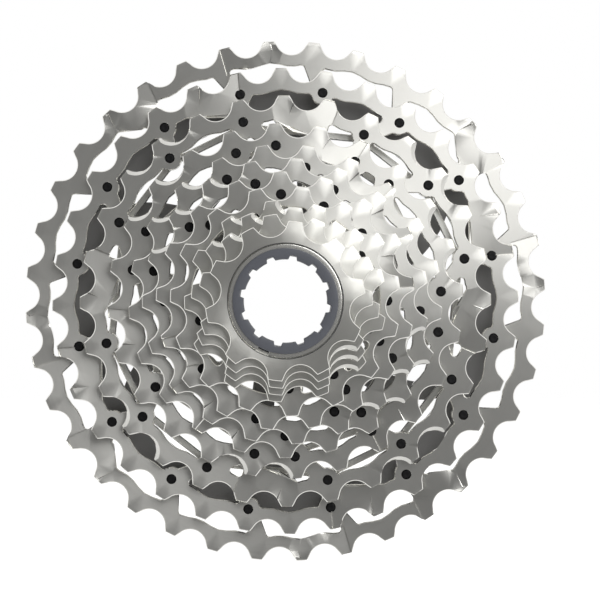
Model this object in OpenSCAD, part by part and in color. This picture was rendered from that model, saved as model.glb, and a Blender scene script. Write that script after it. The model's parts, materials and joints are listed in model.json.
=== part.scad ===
// Twelve-speed bicycle cassette, 10 to 36 teeth, in millimetres.
// Eight stamped sprockets are pinned each to the next, and the largest to a carrier that the
// freehub drives. The four smallest are machined as one cluster, and a lock tube with a spring
// clip turns inside and clamps the stack. The axle runs along Y and the small end faces -Y.
// The origin is on the axle, where the carrier seats on the freehub.

/* [Teeth] */
// Pitch of the chain
chain_pitch = 12.7; // [12.6:0.05:12.8]
// Depth of the tooth roots below the pitch circle
root_drop = 3.9; // [3.7:0.05:4.1]
// Radius of the seat that a chain roller drops into
seat_r = 4.4; // [4.2:0.05:4.6]
// Half of the angle that a seat's arc covers
seat_half = 55; // [52:1:58]
// Radial width of the bevel on the tooth tips
tip_bevel_w = 1.0; // [0.5:0.1:1.3]
// Depth of that bevel along the axle
tip_bevel_d = 0.45; // [0.2:0.05:0.6]
// Radial width of the longer bevel on the smallest sprocket's front
nose_bevel_w = 3.4; // [2:0.1:3.8]
// Depth of that bevel along the axle
nose_bevel_d = 0.8; // [0.4:0.05:1]

/* [Stack] */
// Distance from one sprocket to the next
stack_pitch = 3.65; // [3.4:0.05:4]
// Thickness of a sprocket
plate_t = 1.6; // [1.4:0.05:1.8]

/* [Sprocket plates] */
// Depth of the toothed rim below the tooth roots
rim_depth = 2.8; // [2.4:0.1:3.2]
// Rise of the rim's inner edge under each tooth
rim_wave = 0.5; // [0:0.1:0.8]
// Radius of the bosses round the pins of the three largest sprockets
boss_r_large = 3.3; // [2.8:0.1:3.6]
// Radius of the bosses round the pins of the other sprockets
boss_r_small = 4.1; // [3.4:0.1:4.4]
// Width of the arms that reach in to the next sprocket's pins
arm_w = 4.2; // [3.6:0.1:5]
// Angle that an arm gains on its way out to the rim, where no pin is near
arm_lean = 4.5; // [0:0.5:6]
// Width of the bars that link one arm's foot to the next
bar_w = 1.9; // [1.6:0.1:2.4]
// Distance of a bar inside the straight line between two feet
bar_inset = 1.0; // [0.6:0.1:1.4]
// Radius in the corners of the windows
window_fillet = 0.9; // [0.5:0.1:1.1]
// Depth of the shift ramps
ramp_depth = 0.75; // [0.4:0.05:0.9]
// Radial reach of a shift ramp, in from the tooth tips
ramp_reach = 10.5; // [8:0.5:12]
// Turn of a ramp's sides against the radius
ramp_turn = 14; // [0:1:20]
// Depth of the bevels on the flanks that lead the chain across
lead_depth = 0.9; // [0.5:0.05:1.1]

/* [Pins] */
// Radius of a pin's shank
pin_r = 1.15; // [1:0.05:1.3]
// Radius of the shoulder that spaces two sprockets
pin_shoulder_r = 1.75; // [1.6:0.05:1.9]
// Distance of the pins inside the tooth roots, under a tooth
pin_inset = 2.2; // [2.1:0.05:2.4]
// The same distance for the pins that miss a tooth
pin_inset_deep = 3.55; // [3.4:0.05:3.7]
// Clearance round a pressed pin
press_gap = 0.03; // [0.02:0.01:0.05]
// Width of the countersink round a pin's end
countersink = 0.22; // [0.1:0.02:0.3]

/* [Carrier] */
// Thickness of the carrier's ring
ring_t = 2.0; // [1.8:0.1:2.4]
// Distance of the ring in front of the seating face
ring_z = 0.2; // [0.1:0.1:0.6]
// Width of the ring inside the pin circle
ring_in = 7.3; // [5:0.1:8]
// Width of the ring outside the pin circle
ring_out = 2.2; // [1.8:0.1:3]
// Number of arms
spokes = 6; // [4:1:8]
// Width of an arm
spoke_w = 7.0; // [5:0.5:9]
// Thickness of an arm
spoke_t = 3.4; // [2.4:0.1:4]
// Angle that an arm sweeps round on its way out
spoke_sweep = 16; // [0:1:24]
// Length of the hub along the axle
hub_len = 8.0; // [6:0.5:8.5]
// Thickness of the hub's wall outside the splines
hub_wall = 2.9; // [2:0.1:4]

/* [Drive splines] */
// Number of splines
splines = 20; // [12:1:24]
// Distance from the thread's minor radius out to the tops of the splines
spline_clear = 1.0; // [0.6:0.1:1.4]
// Depth of the spline grooves
spline_d = 0.7; // [0.5:0.1:1]
// Width of a spline groove
spline_w = 2.6; // [2:0.1:3]

/* [Machined cluster] */
// Step from a sprocket's roots down to the core beside it
core_step = 0.8; // [0.5:0.1:1.2]
// Distance of the rear spigot inside the thirteen-tooth roots
spigot_step = 2.7; // [2.4:0.1:3]
// Length of the spigot behind the fifteen-tooth sprocket
spigot_tail = 1.2; // [0.6:0.1:2]
// Number of drive lugs on the spigot
lugs = 6; // [3:1:8]
// Height of a lug
lug_h = 0.9; // [0.6:0.1:1.2]
// Width of a lug
lug_w = 4.0; // [3:0.2:5]
// Clearance round the spigot and its lugs
spigot_gap = 0.05; // [0.03:0.01:0.1]
// Depth of the front recess that the clip seats in
recess_d = 1.2; // [1:0.1:1.6]

/* [Lock tube] */
// Radius of the pilot bore, which runs on the freehub
pilot_r = 12.1; // [11.9:0.05:12.3]
// Wall of the tube's body round the pilot bore
tube_wall = 0.8; // [0.6:0.05:1]
// Step from the body out to the nose
nose_step = 0.6; // [0.4:0.05:0.7]
// Step from the pilot bore in to the tool socket
socket_lip = 1.37; // [1.2:0.01:1.6]
// Depth of the socket's notches
notch_d = 1.03; // [0.8:0.01:1.2]
// Number of notches in the socket
notches = 12; // [12:1:12]
// Width of a notch at its mouth
notch_w = 2.4; // [2:0.1:2.8]
// Width of a notch at its bottom
notch_root_w = 1.5; // [1:0.1:2]
// Depth of the tool socket
socket_d = 6.5; // [5:0.5:8]
// Distance that the nose stands out of the cluster
nose_out = 0.75; // [0.4:0.05:1]
// Step from the pilot bore out to the thread's minor radius, a plain bore
thread_step = 3.5; // [3.3:0.1:3.7]
// Wall of the threaded end
thread_wall = 1.7; // [1.4:0.1:2]
// Length of the threaded end
thread_len = 8.0; // [6:0.5:10]
// Gap between the hub and the threaded end
thread_gap = 1.0; // [0.6:0.1:2]
// Length of the taper from the threaded end to the body
taper_len = 5.0; // [4:0.5:6]
// Running clearance round the nose
nose_gap = 0.2; // [0.15:0.05:0.3]

/* [Retaining clip] */
// Thickness of the clip
clip_t = 0.8; // [0.7:0.05:0.9]
// Radial width of the clip
clip_w = 1.425; // [1.3:0.025:1.5]
// Depth of the clip's groove in the tube
groove_d = 0.4; // [0.3:0.05:0.5]
// Clearance round the clip
clip_gap = 0.15; // [0.1:0.05:0.2]
// Width of the split in the clip
clip_split = 3.0; // [2:0.5:4]

/* [Hidden] */
$fn = 64;

steel = "silver";
dark = "dimgray";
black = "#202020";

// The sprockets from the back to the front, and the angle of one tooth of each
TEETH = [36, 32, 28, 24, 21, 19, 17, 15, 13, 12, 11, 10];
TOOTH_A = [3.65, 1.12, 0.44, 3.5, 12.84, 9.67, 7.66, 9.3, 264, 264, 263.8, 262.6];

// Where the pins of each sprocket sit, counted in teeth from the tooth above.
// A whole number is a pin under a tooth.
UNDER_TOOTH = [
    [],
    [for (i = [0 : 15]) 2 * i + 1],
    [for (q = [0 : 3], i = [1, 3, 5]) 7 * q + i],
    [0, 3, 4, 6, 7, 10, 11, 14, 17, 18, 20, 23],
    [2, 4, 6, 9, 12, 15, 17, 20],
    [0, 3, 5, 7, 9, 11, 13, 15, 17],
    [4, 6, 8, 10, 14],
    [],
];
OFF_TOOTH = [
    [], [], [], [], [], [],
    [-0.35, 1.6, 2.85, -1.45],
    [0.9, 2.45, 4.2, 5.9, 7.65, 9.3, 10.95, 12.25, 13.85],
];

// The shift ramps of each sprocket: where they sit and the angle that one covers, in degrees,
// then the web behind it, as its near side, far side and tail in degrees and its depth
RAMPS = [
    [[for (q = [0 : 3]) 90 * q + 39], 10, [6, 1, 6.5, 6.4]],
    [[for (q = [0 : 3]) 90 * q + 18.5], 9, [6, -2, 12.5, 7.8]],
    [[for (q = [0 : 3]) 90 * q + 82.5], 11, [6.5, 4.7, 13, 6.4]],
    [[for (q = [0 : 2]) 120 * q + 70.5], 10, [5, 4, 15, 5.3]],
    [[55.5, 244], 11, [5.5, 4, 12, 4.7]],
    [[38, 227.5], 12, [6, 5, 13, 4.7]],
    [[17, 208], 13, [6, 5, 13, 4.5]],
];

// The largest sprocket's shallow gates, where the chain drops off it
GATES = [for (q = [0 : 3]) 90 * q + 9];

// The teeth of each sprocket whose flank is bevelled to lead the chain, counted as above
LEADS = [
    [], [],
    [for (q = [0 : 3], i = [3, 4]) 7 * q + i],
    [for (q = [0 : 2], i = [1, 2]) 8 * q + i],
    [7, 8, 18, 19],
    [6, 7, 8, 16, 17, 18],
    [], [],
    [2, -5, -6],
    [2, -4, -5],
    [2, -4],
    [],
];

flank_ease = 0.04;      // set-in of a flank, so that it crosses its seat's arc
arm_span = 14.5;        // widest angle from a foot to the pin that its arm starts at
gate_reach = 7;         // radial reach of a gate
lead_shift = 0.8;       // shift of a lead bevel's centre towards its tooth
rim_wall = 1.7;         // least wall round a pin's shoulder and outside an opening
pin_recess = 0.12;      // depth of a pin's end below the face
nose_len = 6;           // length of the nose behind the clip's groove
edge = 0.3;             // broken edge at the nose
lug_a = 11;             // turn of the first lug
spoke_a = 16;           // turn of the first arm
notch_a = 20;           // turn of the first notch
clip_a = 246;           // turn of the clip's split
past = 1;               // overrun of a cut past a face
lap = 1;                // lap of one shape into the next
foot_step = 0.2;        // set-in of a foot from the boss that it sits on
spoke_taper = 0.25;     // share of its width that an arm loses on its way out
ramp_tilt = 2;          // fall of a ramp towards the axle
wave_steps = 5;         // points of a rim's inner edge to a tooth
fillet_fn = 16;

function level(n) = search(n, TEETH)[0];
function next(n) = TEETH[level(n) + 1];
function pitch_r(n) = chain_pitch / 2 / sin(180 / n);
function root_r(n) = pitch_r(n) - root_drop;
function rear_z(n) = ring_z + ring_t + level(n) * stack_pitch;
function front_z(n) = rear_z(n) + plate_t;
function tooth_a(n, i) = TOOTH_A[level(n)] + 360 / n * i;
function polar(r, a) = [r * cos(a), r * sin(a)];
function boss_r(n) = n >= 28 ? boss_r_large : boss_r_small;
function angle_between(a, b) = abs((a - b + 540) % 360 - 180);

// The pins that hold a sprocket to the next larger one, each as an angle and a radius
function pins(n) = concat(
    [for (i = UNDER_TOOTH[level(n)]) [tooth_a(n, i), root_r(n) - pin_inset]],
    [for (i = OFF_TOOTH[level(n)]) [tooth_a(n, i), root_r(n) - pin_inset_deep]]);

// The end of the arm that holds a foot: the sprocket's own pin where one is near, or the rim
function arm_end(n, foot) =
    let (near = [for (p = pins(n)) if (angle_between(p[0], foot[0]) < arm_span) p])
    len(near) > 0
        ? polar(near[0][1], near[0][0])
        : polar(root_r(n) - lap, foot[0] + arm_lean);

tube_r = pilot_r + tube_wall;
nose_r = tube_r + nose_step;
socket_r = pilot_r - socket_lip;
notch_r = socket_r + notch_d;
thread_r = pilot_r + thread_step;
thread_end_r = thread_r + thread_wall;
spline_minor_r = thread_r + spline_clear;
clip_bore_r = nose_r - groove_d + clip_gap / 2;
clip_r = clip_bore_r + clip_w;
spigot_r = root_r(13) - spigot_step;
bore_r = nose_r + nose_gap;
tail_z = rear_z(15) - spigot_tail;
face_z = front_z(10);
tip_z = face_z + nose_out;
recess_z = face_z - recess_d;
recess_r = clip_r + clip_gap;
thread_z = hub_len + thread_gap;
pin_circle_r = root_r(32) - pin_inset;

// Turns a shape built along +Z so that its front faces -Y
module onto_axle() {
    rotate([90, 0, 0]) children();
}

module at(p) {
    rotate(p[0]) translate([p[1], 0]) children();
}

// ---- teeth ----

// A disc with bevelled edges, from which a sprocket's teeth are cut
module blank(n, bevel_w, bevel_d) {
    tip = pitch_r(n);
    rotate_extrude($fn = 180)
        polygon([
            [0, 0],
            [tip - tip_bevel_w, 0],
            [tip, tip_bevel_d],
            [tip, plate_t - bevel_d],
            [tip - bevel_w, plate_t],
            [0, plate_t],
        ]);
}

// The space between two teeth: a round seat and two straight flanks
module tooth_gap(n) {
    c = root_r(n) + seat_r;
    q = seat_r - flank_ease;
    reach = root_drop + past;
    foot = [c - q * cos(seat_half), q * sin(seat_half)];
    mouth = foot + reach * [sin(seat_half), cos(seat_half)] / sin(seat_half);
    translate([0, 0, -past]) linear_extrude(plate_t + 2 * past) {
        translate([c, 0]) circle(r = seat_r);
        polygon([foot, mouth, [mouth[0], -mouth[1]], [foot[0], -foot[1]]]);
    }
}

// The bevel that leads the chain over a tooth: a cone beside the seat, leaning on its flank
module lead_bevel(n) {
    c = root_r(n) + seat_r;
    translate([c, lead_shift, plate_t - lead_depth])
        cylinder(r1 = seat_r - lead_shift / 2, r2 = seat_r + lead_depth + 2 * past,
            h = lead_depth + 2 * past);
}

module toothed_disc(n, bevel_w = tip_bevel_w, bevel_d = tip_bevel_d) {
    translate([0, 0, rear_z(n)]) difference() {
        blank(n, bevel_w, bevel_d);
        for (i = [0 : n - 1])
            rotate(tooth_a(n, i + 0.5)) tooth_gap(n);
        for (i = LEADS[level(n)])
            rotate(tooth_a(n, i - 0.5)) lead_bevel(n);
    }
}

// ---- stamped plates ----

// The wavy inner edge of a rim, which rises under each tooth
module rim_edge(n) {
    steps = n * wave_steps;
    r = root_r(n) - rim_depth;
    polygon([for (i = [0 : steps - 1])
        polar(r + rim_wave * cos(360 * i / wave_steps), tooth_a(n, i / wave_steps))]);
}

// A straight strip between two points
module strip(p, q, w) {
    d = q - p;
    translate(p) rotate(atan2(d[1], d[0])) translate([0, -w / 2]) square([norm(d), w]);
}

// The feet that sit on the next sprocket's pins, with their arms
module feet(n) {
    for (p = pins(next(n))) {
        at(p) circle(r = boss_r(next(n)) - foot_step);
        strip(polar(p[1], p[0]), arm_end(n, p), arm_w);
    }
}

// The bars that link the feet into a ring
module bars(n) {
    list = pins(next(n));
    sorted = [for (a = [0 : 359], p = list) if (floor((p[0] + 360) % 360) == a) p];
    for (i = [0 : len(sorted) - 1]) {
        p = sorted[i];
        q = sorted[(i + 1) % len(sorted)];
        strip(polar(p[1] - bar_inset, p[0]), polar(q[1] - bar_inset, q[0]), bar_w);
    }
}

// The wide web behind a shift ramp, with a tail that tapers back to the rim
module ramp_web(n, a, web) {
    r = root_r(n);
    polygon([
        polar(r - lap, a - web[0]),
        polar(r - web[3], a - web[0]),
        polar(r - web[3], a + web[1]),
        polar(r - rim_depth + lap, a + web[2]),
    ]);
}

module windows(n) {
    ramps = RAMPS[level(n)];
    offset(r = window_fillet, $fn = fillet_fn) offset(delta = -window_fillet) difference() {
        rim_edge(n);
        for (p = pins(n))
            at(p) circle(r = boss_r(n), $fn = 32);
        feet(n, $fn = 32);
        if (n < 36)
            bars(n);
        for (a = ramps[0])
            ramp_web(n, a, ramps[2]);
    }
}

// Cuts a pin's hole with a countersink at its front
module pin_hole(p, z0, z1) {
    r = pin_r + press_gap;
    at(p) {
        translate([0, 0, z0 - past]) cylinder(r = r, h = z1 - z0 + 2 * past, $fn = 32);
        translate([0, 0, z1 - countersink])
            cylinder(r1 = r, r2 = r + 2 * countersink, h = 2 * countersink, $fn = 32);
    }
}

// A slanted facet that lets the chain climb: deepest at its near side and at the tips.
// With a turn below zero it is deepest at its far side.
module ramp(n, a, span, reach, turn) {
    r = pitch_r(n);
    w = 2 * r * sin(span / 2);
    cut_w = 1.1 * w;
    side = turn < 0 ? 1 : -1;
    rotate(a) translate([r - reach, side * w / 2, front_z(n) - ramp_depth])
        rotate([-side * atan(ramp_depth / w), ramp_tilt, -turn])
            translate([-past, side > 0 ? -cut_w : 0, 0])
                cube([reach + 4 * past, cut_w, 3 * past]);
}

module sprocket(n) {
    ramps = RAMPS[level(n)];
    difference() {
        toothed_disc(n);
        translate([0, 0, rear_z(n) - past]) linear_extrude(plate_t + 2 * past) windows(n);
        for (p = pins(n))
            pin_hole(p, rear_z(n), front_z(n));
        for (p = pins(next(n)))
            pin_hole(p, rear_z(n), front_z(n));
        for (a = ramps[0])
            ramp(n, a, ramps[1], ramp_reach, ramp_turn);
        if (n == 36)
            for (a = GATES)
                ramp(n, a, ramps[1], gate_reach, -ramp_turn / 2);
    }
}

// The fifteen-tooth sprocket seats on the cluster's spigot and is open between its pins
module inner_sprocket() {
    n = 15;
    outer = root_r(n) - rim_wall;
    difference() {
        toothed_disc(n);
        translate([0, 0, rear_z(n) - past]) {
            cylinder(r = spigot_r + spigot_gap, h = plate_t + 2 * past);
            linear_extrude(plate_t + 2 * past)
                offset(r = window_fillet, $fn = fillet_fn) offset(delta = -window_fillet)
                difference() {
                    circle(r = outer, $fn = 90);
                    circle(r = spigot_r + lug_h + rim_wall, $fn = 90);
                    for (p = pins(n))
                        at(p) circle(r = pin_shoulder_r + rim_wall, $fn = 32);
                }
        }
        drive_lugs(spigot_gap);
        for (p = pins(n))
            pin_hole(p, rear_z(n), front_z(n));
    }
}

// ---- machined cluster ----

// The lugs on the spigot, or with a gap the slots that they fill
module drive_lugs(gap = 0) {
    for (i = [0 : lugs - 1])
        rotate(360 / lugs * i + lug_a)
            translate([spigot_r - lug_h, -lug_w / 2 - gap, rear_z(15) - (gap > 0 ? past : 0)])
                cube([2 * lug_h + gap, lug_w + 2 * gap, plate_t + (gap > 0 ? 2 * past : 0)]);
}

// The stepped core under the four smallest sprockets, with the spigot behind it
module cluster_core() {
    mid = plate_t / 2;
    rotate_extrude($fn = 180)
        polygon([
            [bore_r - lap, tail_z],
            [spigot_r, tail_z],
            [spigot_r, front_z(15)],
            [spigot_r + lug_h, front_z(15)],
            [spigot_r + lug_h, rear_z(13) + mid],
            [root_r(12) - core_step, rear_z(13) + mid],
            [root_r(12) - core_step, rear_z(12) + mid],
            [root_r(11) - core_step, rear_z(12) + mid],
            [root_r(11) - core_step, rear_z(11) + mid],
            [root_r(10) - core_step, rear_z(11) + mid],
            [root_r(10) - core_step, rear_z(10) + mid],
            [bore_r - lap, rear_z(10) + mid],
        ]);
}

module cluster() {
    difference() {
        union() {
            cluster_core();
            drive_lugs();
            for (n = [13, 12, 11])
                toothed_disc(n);
            toothed_disc(10, nose_bevel_w, nose_bevel_d);
        }
        translate([0, 0, tail_z - past]) cylinder(r = bore_r, h = tip_z - tail_z + past);
        translate([0, 0, recess_z]) cylinder(r = recess_r, h = recess_d + past);
    }
}

// ---- carrier ----

// One arm, swept round as it runs out from the hub to the ring
module spoke(r0, r1) {
    steps = 8;
    side = [for (k = [0 : steps])
        let (t = k / steps, r = r0 + (r1 - r0) * t, half = spoke_w * (1 - spoke_taper * t) / 2)
        [r, spoke_sweep * t * t, asin(half / r)]];
    polygon(concat(
        [for (k = [0 : steps]) polar(side[k][0], side[k][1] + side[k][2])],
        [for (k = [steps : -1 : 0]) polar(side[k][0], side[k][1] - side[k][2])]));
}

module carrier_body() {
    ring_r0 = pin_circle_r - ring_in;
    hub_r = spline_minor_r + spline_d + hub_wall;
    difference() {
        union() {
            translate([0, 0, ring_z]) difference() {
                cylinder(r = pin_circle_r + ring_out, h = ring_t, $fn = 180);
                translate([0, 0, -past])
                    cylinder(r = ring_r0, h = ring_t + 2 * past, $fn = 180);
            }
            for (i = [0 : spokes - 1])
                rotate(360 / spokes * i + spoke_a) translate([0, 0, ring_z])
                    linear_extrude(spoke_t) spoke(hub_r - lap, ring_r0 + lap);
            cylinder(r = hub_r, h = hub_len);
        }
        translate([0, 0, -past]) cylinder(r = spline_minor_r, h = hub_len + 2 * past);
        for (i = [0 : splines - 1])
            rotate(360 / splines * i)
                translate([spline_minor_r - lap, -spline_w / 2, -past])
                    cube([lap + spline_d, spline_w, hub_len + 2 * past]);
        for (p = pins(32))
            at(p) translate([0, 0, ring_z - past])
                cylinder(r = pin_r + press_gap, h = ring_t + 2 * past, $fn = 32);
    }
}

// ---- lock tube and clip ----

module tube_body() {
    thread_end = thread_z + thread_len;
    taper_end = thread_end + taper_len;
    lip_z = tip_z - socket_d;
    rotate_extrude($fn = 120)
        polygon([
            [thread_r, thread_z],
            [thread_end_r, thread_z],
            [thread_end_r, thread_end],
            [tube_r, taper_end],
            [tube_r, recess_z - nose_len],
            [nose_r, recess_z - nose_len],
            [nose_r, recess_z],
            [nose_r - groove_d, recess_z],
            [nose_r - groove_d, recess_z + clip_t + clip_gap],
            [nose_r, recess_z + clip_t + clip_gap],
            [nose_r, tip_z - edge],
            [nose_r - edge, tip_z],
            [socket_r + edge, tip_z],
            [socket_r, tip_z - edge],
            [socket_r, lip_z],
            [pilot_r, lip_z],
            [pilot_r, taper_end],
            [thread_r, thread_end],
        ]);
}

module socket_notch() {
    mouth = notch_w / 2;
    root = notch_root_w / 2;
    polygon([
        [socket_r - lap, -mouth], [socket_r, -mouth], [notch_r, -root],
        [notch_r, root], [socket_r, mouth], [socket_r - lap, mouth],
    ]);
}

module tube() {
    difference() {
        tube_body();
        for (i = [0 : notches - 1])
            rotate(360 / notches * i + notch_a) translate([0, 0, tip_z - socket_d - past])
                linear_extrude(socket_d + 2 * past) socket_notch();
    }
}

module clip() {
    translate([0, 0, recess_z + clip_gap / 2]) difference() {
        cylinder(r = clip_r, h = clip_t, $fn = 120);
        translate([0, 0, -past])
            cylinder(r = clip_bore_r, h = clip_t + 2 * past, $fn = 120);
        rotate(clip_a) translate([0, -clip_split / 2, -past])
            cube([clip_r + past, clip_split, clip_t + 2 * past]);
    }
}

// ---- pins ----

// The pins of one sprocket: a shank through both sprockets, and a shoulder between them
module pin_set(n) {
    larger = TEETH[level(n) - 1];
    z0 = n == 32 ? ring_z : rear_z(larger);
    z1 = front_z(n) - pin_recess;
    for (p = pins(n))
        at(p) {
            translate([0, 0, z0]) cylinder(r = pin_r, h = z1 - z0, $fn = 32);
            translate([0, 0, front_z(larger)])
                cylinder(r = pin_shoulder_r, h = rear_z(n) - front_z(larger), $fn = 32);
        }
}

// ---- the parts, in place ----

module sprocket_36t() { color(steel) onto_axle() sprocket(36); }
module sprocket_32t() { color(steel) onto_axle() sprocket(32); }
module sprocket_28t() { color(steel) onto_axle() sprocket(28); }
module sprocket_24t() { color(steel) onto_axle() sprocket(24); }
module sprocket_21t() { color(steel) onto_axle() sprocket(21); }
module sprocket_19t() { color(steel) onto_axle() sprocket(19); }
module sprocket_17t() { color(steel) onto_axle() sprocket(17); }
module sprocket_15t() { color(steel) onto_axle() inner_sprocket(); }
module mini_cluster() { color(steel) onto_axle() cluster(); }
module carrier() { color(dark) onto_axle() carrier_body(); }
module lock_tube() { color(black) onto_axle() tube(); }
module retaining_clip() { color(steel) onto_axle() clip(); }
module pins_32_36() { color(black) onto_axle() pin_set(32); }
module pins_28_32() { color(black) onto_axle() pin_set(28); }
module pins_24_28() { color(black) onto_axle() pin_set(24); }
module pins_21_24() { color(black) onto_axle() pin_set(21); }
module pins_19_21() { color(black) onto_axle() pin_set(19); }
module pins_17_19() { color(black) onto_axle() pin_set(17); }
module pins_15_17() { color(black) onto_axle() pin_set(15); }

sprocket_36t();
sprocket_32t();
sprocket_28t();
sprocket_24t();
sprocket_21t();
sprocket_19t();
sprocket_17t();
sprocket_15t();
mini_cluster();
carrier();
lock_tube();
retaining_clip();
pins_32_36();
pins_28_32();
pins_24_28();
pins_21_24();
pins_19_21();
pins_17_19();
pins_15_17();
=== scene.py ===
"""Dresses a twelve-speed bicycle cassette and sets it in a small studio.

The axle runs along Y, the small sprockets face -Y and Z is up. All lengths are in metres.
The stamped sprockets, the machined cluster and the carrier get broken edges, and the lock tube,
its clip and the pins are made anew as smooth surfaces of revolution with their fine detail.
"""

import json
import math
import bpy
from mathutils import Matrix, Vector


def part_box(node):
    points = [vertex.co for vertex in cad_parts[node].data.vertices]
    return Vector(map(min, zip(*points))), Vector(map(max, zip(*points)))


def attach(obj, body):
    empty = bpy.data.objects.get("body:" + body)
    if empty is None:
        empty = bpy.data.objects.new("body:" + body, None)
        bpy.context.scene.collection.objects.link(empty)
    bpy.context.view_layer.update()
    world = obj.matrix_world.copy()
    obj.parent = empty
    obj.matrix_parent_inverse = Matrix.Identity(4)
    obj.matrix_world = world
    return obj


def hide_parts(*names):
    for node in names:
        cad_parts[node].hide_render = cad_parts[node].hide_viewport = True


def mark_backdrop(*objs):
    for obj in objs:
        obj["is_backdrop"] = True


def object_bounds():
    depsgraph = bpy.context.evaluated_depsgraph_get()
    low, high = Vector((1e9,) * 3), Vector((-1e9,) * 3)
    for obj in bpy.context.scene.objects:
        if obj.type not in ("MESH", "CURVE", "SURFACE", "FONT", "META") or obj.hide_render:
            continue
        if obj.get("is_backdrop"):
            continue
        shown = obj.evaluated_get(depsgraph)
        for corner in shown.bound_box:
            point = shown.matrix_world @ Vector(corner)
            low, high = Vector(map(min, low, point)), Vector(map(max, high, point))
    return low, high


bl_info = {
    "name": "Cassette Workshop",
    "version": (1, 0, 0),
    "blender": (4, 5, 0),
    "location": "3D View > Sidebar > Cassette",
    "description": "Makes the visible pieces, the finishes and the studio of a bicycle cassette",
    "category": "Object",
}

import bmesh
import bpy
import numpy as np
from bpy.props import FloatProperty, FloatVectorProperty, IntProperty, PointerProperty

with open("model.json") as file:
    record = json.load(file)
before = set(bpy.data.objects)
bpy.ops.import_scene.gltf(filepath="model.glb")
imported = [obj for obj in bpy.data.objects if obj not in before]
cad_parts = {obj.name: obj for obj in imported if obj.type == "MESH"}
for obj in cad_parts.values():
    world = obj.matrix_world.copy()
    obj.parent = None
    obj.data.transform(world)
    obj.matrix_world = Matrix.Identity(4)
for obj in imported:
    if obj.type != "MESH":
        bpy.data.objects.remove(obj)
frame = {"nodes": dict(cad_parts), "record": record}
CAD_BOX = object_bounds()

SPROCKETS = ("36t", "32t", "28t", "24t", "21t", "19t", "17t", "15t")
PIN_SETS = ("32_36", "28_32", "24_28", "21_24", "19_21", "17_19", "15_17")
MOUNTS = {m["name"]: m for m in frame["record"]["mounts"]}
TURN = 2 * math.pi

# how the copies of CAD meshes are read
MERGE_WITHIN = 3e-6  # points nearer than this are one, in metres
ONE_FACE = math.radians(0.4)  # neighbouring faces that differ by less than this are one
CAP = 0.6  # a face looks along the axle where the Y part of its direction is above this
SHADED_FLAT = 0.9  # and it is shaded flat where that part is not below this
DRAW_BACK = 0.6  # share of the way that a turned-over triangle's corners go back at a time

# the lock tube, in metres where it is a length
TUBE_SOFT, WIDE_SOFT, TIP_SOFT = 0.00012, 0.0005, 0.0003
TIP_LAND = 0.0015
THREAD_RINGS, THREAD_FADE = 88, 0.0009

# the clip: sides round its section, rings along it, rings at each end, power of its section
CLIP_SIDES, CLIP_RINGS, CLIP_END_RINGS, CLIP_POWER = 28, 181, 6, 5

# the pins: sides, points to a corner, reach of one pin's points, and the dent in each end as
# a share of the shank's radius and of the edge's
PIN_SIDES, PIN_STEPS, PIN_REACH = 20, 4, 0.0036
PIN_DENT, PIN_HOLLOW = 0.42, 0.35

# the painted highlight on the plated steel's broken edges and walls, and how far its brushing leans
# along the axle
EDGE_FROM, EDGE_TO = 0.93, 0.78
EDGE_HIGHLIGHT_TINT, EDGE_ROUGHNESS = 1.3, 0.16
BRUSH_LEAN = 0.27

# the studio
ROOM_FROM, ROOM_TO = -0.55, 0.2
FADE_FROM, FADE_TO = 0.25, 0.85
FLOOR_REACH, FLOOR_RINGS, FLOOR_SIDES = 0.9, 11, 96
PALE, WHITE = (0.9, 0.9, 0.9, 1), (1, 1, 1, 1)
KEY_PLACE = (0.36, -0.50, 0.36)
LENS_SHIFT = (0.0243, 0.0017)


# ---------------------------------------------------------------- sizes, finishes, studio


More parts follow.
